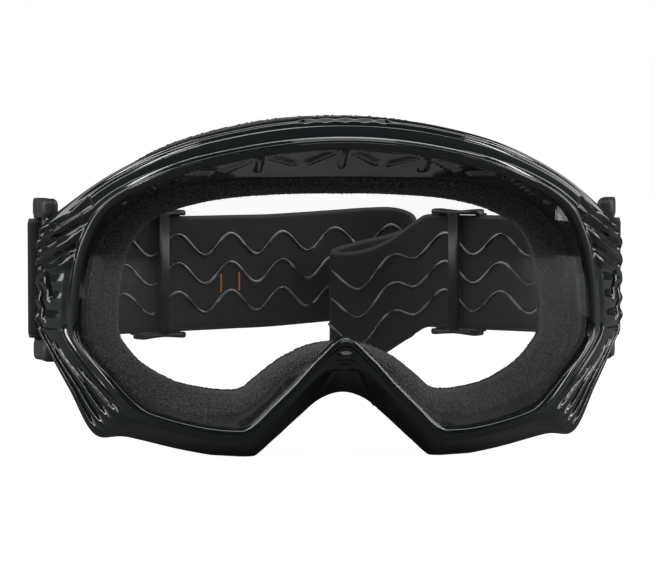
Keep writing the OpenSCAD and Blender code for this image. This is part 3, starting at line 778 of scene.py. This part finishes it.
def web_grid(centre, out_way, half, up):
    """Webbing along a centre line: points in metres, and the distances along and across for its knit."""
    across = np.concatenate([np.linspace(-1, 1, WEB_THREADS), np.linspace(1, -1, WEB_THREADS)])
    face = np.repeat([-1.0, 1.0], WEB_THREADS)
    thin = np.where(np.abs(across) > 0.999, EDGE_SHARE, 1.0)
    z = across * STRAP_W / 2
    flat = centre[:, None, :] + out_way[:, None, :] * (face * thin * half)[None, :, None]
    height = up[:, None] + z[None, :]
    points = np.concatenate([flat, height[..., None]], axis=2)
    run = np.concatenate([[0], np.cumsum(np.linalg.norm(np.diff(centre, axis=0), axis=1))])
    sheet = np.stack(np.broadcast_arrays(run[:, None], z[None, :]), axis=-1)
    return points, sheet


def banded(name, points, sheet, finish):
    """A piece of webbing with closed ends, and with the lengths along and across as its UV map."""
    sheet = np.concatenate([sheet[:1], sheet, sheet[-1:]])
    bm = wrapped(with_ends(points), False, True)
    along = bm.loops.layers.uv.active
    nu, nv = sheet.shape[:2]
    for face in bm.faces:
        for corner in face.loops:
            i, j = round(corner[along].uv.x * nu), round(corner[along].uv.y * nv) % nv
            corner[along].uv = sheet[min(i, nu - 1), j]
    return shown(name, bm, finish)


def run_point(side, share):
    """A point of the webbing's route along a run, by its share of the way from loop to fold."""
    x, depth = beside_run(side, LOOP_L + (RUN_L[side] - LOOP_L) * share, -LAYER_OUT)
    return side * x, depth, 0


MARKS = (0, 0.3, 0.62, 0.88, 1)
FOLD = [(-28, 115.3, 0), (-17, 122.6, 0), (-6, 129.7, 0.4), (6, 136.2, 1), (18, 140.3, 1.7),
        (27.5, 141.15, 1.8), (33.3, 139.4, 0.2), (35, 135.8, -2.4), (32.6, 132.4, -4.8), (26, 130.7, -7),
        (16, 129.9, -9.2),
        (8.6, 128.3, -11.2), (5.6, 125, -12.4), (8.8, 121.9, -12.8), (16, 121.4, -12), (23, 122, -9.4),
        (29, 121.2, -5.6), (33.4, 118.8, -2.2)]
route = np.array([run_point(-1, share) for share in MARKS] + FOLD
                 + [run_point(1, share) for share in MARKS[::-1]])
fine = np.linspace(0, len(route) - 1, 3001)
path = through(route, fine, False)
lengths = np.concatenate([[0], np.cumsum(np.linalg.norm(np.diff(path[:, :2], axis=0), axis=1))])


def along_web(spots):
    """Centre, outward way and height of the webbing at these distances along it."""
    centre = np.stack([np.interp(spots, lengths, path[:, k]) for k in (0, 1)], axis=1)
    ahead = np.stack([np.interp(spots + 0.3, lengths, path[:, k]) for k in (0, 1)], axis=1)
    behind = np.stack([np.interp(spots - 0.3, lengths, path[:, k]) for k in (0, 1)], axis=1)
    way = ahead - behind
    way /= np.linalg.norm(way, axis=1)[:, None]
    return centre, np.stack([-way[:, 1], way[:, 0]], axis=1), np.interp(spots, lengths, path[:, 2])


def in_frame(points):
    return np.stack([points[..., 0], points[..., 1] + DEPTH_ORIGIN, points[..., 2] + STRAP_Z], axis=-1) * MM


spots = np.linspace(0, lengths[-1], 520)
centre, way, up = along_web(spots)
points, sheet = web_grid(centre, way, STRAP_T / 2, up)
main = banded("strap_webbing", in_frame(points), sheet, webbing)
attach(main, "root")
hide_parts("strap_main")

for side in (-1, 1):
    turn = np.linspace(-np.pi / 2, np.pi / 2, 24)
    straight = np.linspace(LOOP_L - 0.1, 0, 14, endpoint=False)
    s = np.concatenate([straight, -LAYER_OUT * np.cos(turn), straight[::-1]])
    out = np.concatenate([np.full(14, -LAYER_OUT), LAYER_OUT * np.sin(turn), np.full(14, LAYER_OUT)])
    line = np.stack([s, out], axis=1)
    heading = np.gradient(line, axis=0)
    heading /= np.linalg.norm(heading, axis=1)[:, None]
    facing = np.stack([heading[:, 1], -heading[:, 0]], axis=1)
    points, sheet = web_grid(line, facing, STRAP_T / 2, np.zeros(len(line)))
    loop = banded(side_name("strap_loop_webbing", side),
                  on_run(side, points[..., 0], points[..., 1], points[..., 2]), sheet, webbing)
    run_spot(side, LOOP_L)
    run_spot(side, 2.0)
    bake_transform(loop)
    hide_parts(side_name("strap_loop", side))

    start = SLIDER_AT[side] - SLIDER_L / 2
    lifted = start - 4
    sewn = np.linspace(lifted + 0.5, start + SLIDER_BAR_W + 1, 14)
    s = np.concatenate([np.linspace(LOOP_L, lifted, 40), sewn])
    slope = np.clip((s - LOOP_L) / (lifted - LOOP_L), 0, 1)
    line = np.stack([s, LAYER_OUT + (TAIL_OUT - LAYER_OUT) * slope], axis=1)
    facing = np.tile([0.0, 1.0], (len(s), 1))
    points, sheet = web_grid(line, facing, STRAP_T / 2, np.zeros(len(line)))
    tail = banded(side_name("strap_tail_webbing", side),
                  on_run(side, points[..., 0], points[..., 1], points[..., 2]), sheet, webbing)
    run_spot(side, LOOP_L)
    run_spot(side, start - 1)
    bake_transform(tail)
    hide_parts(side_name("strap_tail", side))


# ---------------------------------------------------------------- silicone waves
# Three wavy beads of silicone printed on the inside of the webbing, where they grip a helmet.
# Each is a half-round tube along the cloth, its colour blotched pale with painted highlights.
WAVE_L, WAVE_H, WAVE_START = 21.5, 7.0, 12.6
BEAD_W, BEAD_H, BEAD_LIFT = 1.0, 0.5, 0.01
silicone = Finish("printed_silicone", Base_Color=(0.06, 0.062, 0.066), Roughness=0.28, Coat_Weight=1.0)
# Painted highlights: pale noise blotches in the base colour stand in for glints on the glossy beads.
painted_glints = silicone.node("ValToRGB", {"stops": [(0.45, 0.0), (0.62, 1.0)]}, {0: silicone.noise(160.0, 1.0)})
silicone.wire("Base Color", silicone.shades(painted_glints, (0.012, 0.012, 0.014), (0.24, 0.245, 0.25)))
silicone.wire("Roughness", silicone.noise(300.0, 2.0) * 0.25 + 0.14)
spots = np.linspace(0.3, lengths[-1] - 0.3, 900)
centre, way, up = along_web(spots)
turn = np.radians(np.linspace(0, 180, 9))
grids = []
for height in (-STRAP_W / 4, 0.0, STRAP_W / 4):
    swing = WAVE_H / 2 * np.sin(2 * np.pi * (spots - WAVE_START) / WAVE_L)
    slope = np.pi * WAVE_H / WAVE_L * np.cos(2 * np.pi * (spots - WAVE_START) / WAVE_L)
    lean = np.sqrt(1 + slope ** 2)
    ahead = np.stack([way[:, 1], -way[:, 0]], axis=1)
    points = []
    for a in turn:
        side_step = BEAD_W / 2 * math.cos(a)
        lift = -(STRAP_T / 2 + BEAD_LIFT + BEAD_H * math.sin(a))
        flat = centre + way * lift - ahead * (side_step * slope / lean)[:, None]
        points.append(np.concatenate([flat, (up + height + swing + side_step / lean)[:, None]], axis=1))
    grids.append((in_frame(with_ends(np.stack(points, axis=1))), False, True))
waves = joined("silicone_wave_beads", grids, silicone)
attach(waves, "root")
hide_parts("silicone_waves")


# ---------------------------------------------------------------- sliders
# Each slider is a moulded ladder: two rails that the end of the webbing is sewn round and
# a middle bar that the webbing passes behind, joined by end caps with a bump at each corner.
acetal = Finish("slider_acetal", Base_Color=(0.016, 0.016, 0.017), Roughness=0.38)
acetal.bump(acetal.noise(1200.0, 2.0), 0.00003, 0.4)
FRONT_OUT = -LAYER_OUT - STRAP_T / 2 - SLIDER_GAP - SLIDER_BAR_T
HALF_H = STRAP_W / 2 + 0.2


def squarish(width, depth, edge, count=32):
    """The outline of a bar with rounded edges, centred on its middle."""
    turn = np.linspace(0, 2 * np.pi, count, endpoint=False)
    c, s = np.cos(turn), np.sin(turn)
    along, through_it = np.sign(c) * np.abs(c) ** edge, np.sign(s) * np.abs(s) ** edge
    return np.stack([width / 2 * along, depth / 2 * through_it], axis=1)


for side in (-1, 1):
    start = SLIDER_AT[side] - SLIDER_L / 2
    grids = []
    for s, out in ((start + SLIDER_BAR_W / 2, RAIL_OUT + SLIDER_BAR_T / 2),
                   (start + SLIDER_L - SLIDER_BAR_W / 2, RAIL_OUT + SLIDER_BAR_T / 2),
                   (start + SLIDER_L / 2, FRONT_OUT + SLIDER_BAR_T / 2)):
        section = squarish(SLIDER_BAR_W, SLIDER_BAR_T, 0.4) + np.array([s, out])
        rows = [(0.02, -HALF_H - 0.5), (1, -HALF_H - 0.5), (1, 0.0), (1, HALF_H + 0.5), (0.02, HALF_H + 0.5)]
        middle = section.mean(axis=0)
        grid = np.stack([at_height(middle + (section - middle) * k, z) for k, z in rows], axis=1)
        grids.append((on_run(side, grid[..., 0], grid[..., 1], grid[..., 2]), True, False))
    depth = RAIL_OUT + SLIDER_BAR_T - FRONT_OUT
    for end in (-1, 1):
        s = np.linspace(-1, 1, 61)
        rise = CAP_H * (0.62 + 0.38 * np.abs(s) ** 1.5) * np.clip((1 - np.abs(s) ** 14), 0, 1) ** 0.5
        section = squarish(1.0, 1.0, 0.45, 28)
        grid = []
        for a, h in zip(s, rise):
            pinch = math.sqrt(max(1 - abs(a) ** 10, 0.0004))
            y = section[:, 0] * depth * pinch + (FRONT_OUT + depth / 2)
            z = end * (HALF_H + h / 2 + section[:, 1] * max(h, 0.02))
            place = start + (1 + a) * SLIDER_L / 2
            grid.append(np.stack([np.full(len(section), place), y, z], axis=1))
        grid = np.stack(grid)
        grids.append((on_run(side, grid[..., 0], grid[..., 1], grid[..., 2]), False, True))
    ladder = joined(side_name("slider_ladder", side), grids, acetal)
    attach(ladder, body_name(side, "adjuster"))
    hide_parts(side_name("slider", side))


# ---------------------------------------------------------------- stitching
# Two rows of black stitches close each end of the webbing round its slider, and two orange
# bar tacks are sewn through the middle. Every stitch is a short rounded thread.
THREAD_R = 0.2 * MM
black_thread = Finish("black_thread", Base_Color=(0.02, 0.02, 0.02), Roughness=0.7)
black_thread.bump(black_thread.noise(2500.0, 1.0), 0.00005, 0.6)
orange_thread = Finish("orange_thread", Base_Color=(0.62, 0.2, 0.035), Roughness=0.6)
orange_thread.bump(orange_thread.noise(2500.0, 1.0), 0.00005, 0.6)


def stitch(begin, finish_at, lift_way, radius):
    """A short thread between two points, standing proud in the middle."""
    begin, finish_at, lift_way = (np.asarray(v, float) for v in (begin, finish_at, lift_way))
    run = finish_at - begin
    cross = np.cross(run, lift_way)
    cross /= np.linalg.norm(cross)
    t = np.linspace(0, 1, 9)
    turn = np.linspace(0, 2 * np.pi, 8, endpoint=False)
    fat = radius * np.sqrt(np.maximum(1 - (2 * t - 1) ** 4, 0.001))
    core = begin + run * t[:, None] + lift_way * (radius * 0.6 * np.sin(np.pi * t))[:, None]
    return core[:, None] + fat[:, None, None] * (np.cos(turn)[None, :, None] * cross
                                                + np.sin(turn)[None, :, None] * lift_way)


for side in (-1, 1):
    start = SLIDER_AT[side] - SLIDER_L / 2
    a = RUN_ANGLE[side]
    proud = np.array([side * math.sin(a), math.cos(a), 0.0])
    grids = []
    for s in (start - 3.05, start - 1.05):
        for z in np.arange(-STRAP_W / 2 + 2.2, STRAP_W / 2 - 2.2, 1.6):
            ends = on_run(side, np.array([s, s]), TAIL_OUT + STRAP_T / 2 + 0.08, np.array([z, z + 1.2]))
            grids.append((stitch(ends[0], ends[1], proud, THREAD_R), False, True))
    seam = joined(side_name("tail_seam_stitches", side), grids, black_thread)
    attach(seam, body_name(side, "adjuster"))
    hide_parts(side_name("tail_seam", side))

grids = []
TACKS = ((56.8, -3.6), (64.4, -3.2))
for spot, middle in TACKS:
    centre, way, up = along_web(np.array([spot - 0.45, spot + 0.45]))
    for k, z in enumerate(np.linspace(-2.9, 2.9, 17)):
        flat = centre + way * -(STRAP_T / 2 + 0.1)
        ends = in_frame(np.concatenate([flat, (up + middle + z + np.array([-0.12, 0.12]))[:, None]], axis=1))
        proud = np.array([-way[0, 0], -way[0, 1], 0.0])
        grids.append((stitch(ends[0], ends[1], proud, THREAD_R), False, True))
tacks = joined("bar_tack_stitches", grids, orange_thread)
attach(tacks, "root")
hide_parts("bar_tacks")
